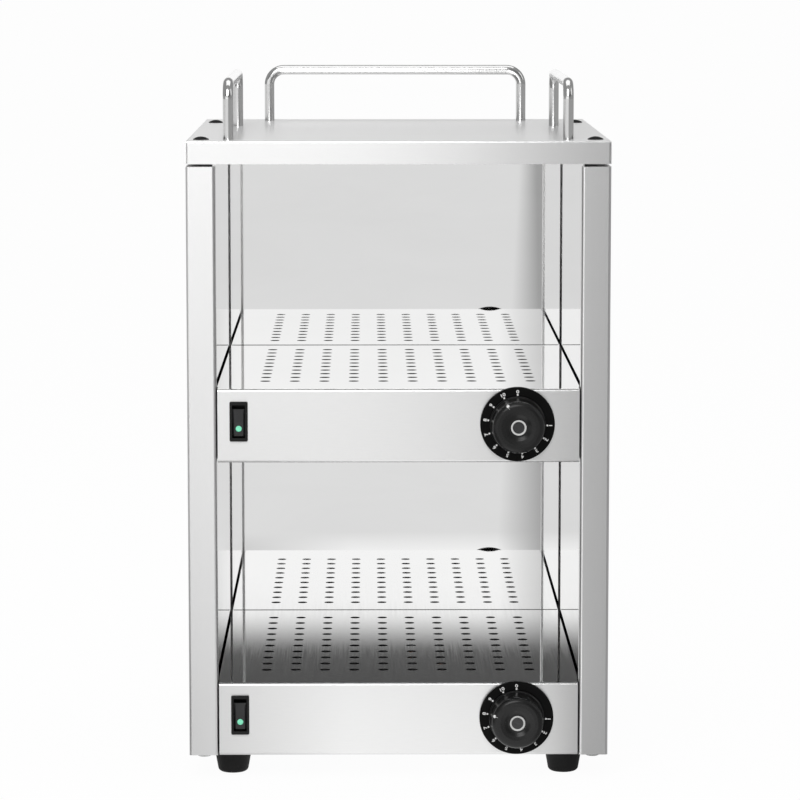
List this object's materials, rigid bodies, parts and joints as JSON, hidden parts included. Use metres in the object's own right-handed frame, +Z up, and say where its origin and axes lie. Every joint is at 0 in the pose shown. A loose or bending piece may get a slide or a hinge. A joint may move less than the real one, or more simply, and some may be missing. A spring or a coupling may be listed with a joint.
{
  "type": "cup warmer",
  "caption": "Countertop cup warmer: open cabinet with heated perforated shelves, a dial and rocker switch on each, and a railed cup tray on top.",
  "frame": {"origin": "on the supporting surface, under the middle of the overall box", "axes": "+Z up, the open front faces -Y, +X to the right as seen from the front"},
  "size_m": [0.32, 0.404, 0.5345],
  "materials": {
    "brushed_steel": "fine brushed stainless sheet",
    "polished_liner": "bright annealed, near mirror",
    "deck_steel": "bright rolled, glossy",
    "galvanised_sheet": "dull galvanised",
    "polished_rod": "polished stainless rod",
    "zinc_fastener": "bright zinc",
    "black_cap": "gloss black plastic",
    "foot_rubber": "matt black rubber",
    "black_plastic": "satin black moulding",
    "knob_plastic": "satin black moulding with a soft sheen",
    "rocker_plastic": "gloss black moulding",
    "lamp_lens": "green translucent lens, lit",
    "heater_sheath": "dull heat-toned steel",
    "copper": "drawn copper",
    "brass_tab": "stamped brass",
    "insulator": "pale phenolic",
    "wire_sleeve": "woven glass-fibre sleeve",
    "dial_paint": "white printed marks"
  },
  "bodies": {
    "root": {"side_panel_right": "brushed_steel", "side_panel_left": "brushed_steel", "side_liner_right": "polished_liner", "side_liner_left": "polished_liner", "back_liner": "polished_liner", "ceiling_panel": "polished_liner", "rear_cover": "brushed_steel", "top_tray": "brushed_steel", "rail_left": "polished_rod", "rail_right": "polished_rod", "rail_rear": "polished_rod", "rail_washers": "zinc_fastener", "rail_screws": "zinc_fastener", "top_screws": "zinc_fastener", "top_screw_caps": "black_cap", "base_screws": "zinc_fastener", "shelf_screws": "zinc_fastener", "rear_cover_screws": "zinc_fastener", "foot_screws": "zinc_fastener", "heater_clips": "galvanised_sheet", "sensor_clips": "galvanised_sheet", "thermostat_screws": "zinc_fastener", "terminal_tabs": "brass_tab", "terminal_block": "insulator", "cable_gland": "black_plastic", "gland_nut": "black_plastic", "lower_wiring": "wire_sleeve", "upper_wiring": "wire_sleeve", "foot_left_front": "foot_rubber", "foot_left_rear": "foot_rubber", "foot_right_front": "foot_rubber", "foot_right_rear": "foot_rubber", "upper_shelf_deck": "deck_steel", "upper_shelf_pan": "galvanised_sheet", "upper_heat_shield": "galvanised_sheet", "upper_heater": "heater_sheath", "upper_sensor": "copper", "upper_thermal_cutout": "insulator", "upper_thermostat": "insulator", "upper_dial_ring": "black_plastic", "upper_switch_housing": "black_plastic", "lower_shelf_deck": "deck_steel", "lower_shelf_pan": "galvanised_sheet", "lower_heat_shield": "galvanised_sheet", "lower_heater": "heater_sheath", "lower_sensor": "copper", "lower_thermal_cutout": "insulator", "lower_thermostat": "insulator", "lower_dial_ring": "black_plastic", "lower_switch_housing": "black_plastic"},
    "upper_control": {"upper_knob": "knob_plastic", "upper_knob_insert": "black_cap", "upper_thermostat_shaft": "zinc_fastener"},
    "upper_switch": {"upper_rocker": "rocker_plastic", "upper_rocker_lamp": "lamp_lens"},
    "lower_control": {"lower_knob": "knob_plastic", "lower_knob_insert": "black_cap", "lower_thermostat_shaft": "zinc_fastener"},
    "lower_switch": {"lower_rocker": "rocker_plastic", "lower_rocker_lamp": "lamp_lens"}
  },
  "joints": [
    {"name": "upper_control_turn", "type": "hinge", "parent": "root", "child": "upper_control", "pos_m": [0.09, -0.176, 0.274], "axis": [0, 1, 0], "range_deg": [-333.5, 0]},
    {"name": "upper_switch_rock", "type": "hinge", "parent": "root", "child": "upper_switch", "pos_m": [-0.121, -0.1727, 0.276], "axis": [1, 0, 0], "range_deg": [-20, 0]},
    {"name": "lower_control_turn", "type": "hinge", "parent": "root", "child": "lower_control", "pos_m": [0.09, -0.176, 0.048], "axis": [0, 1, 0], "range_deg": [-287.6, 45.9]},
    {"name": "lower_switch_rock", "type": "hinge", "parent": "root", "child": "lower_switch", "pos_m": [-0.121, -0.1727, 0.05], "axis": [1, 0, 0], "range_deg": [-20, 0]}
  ]
}
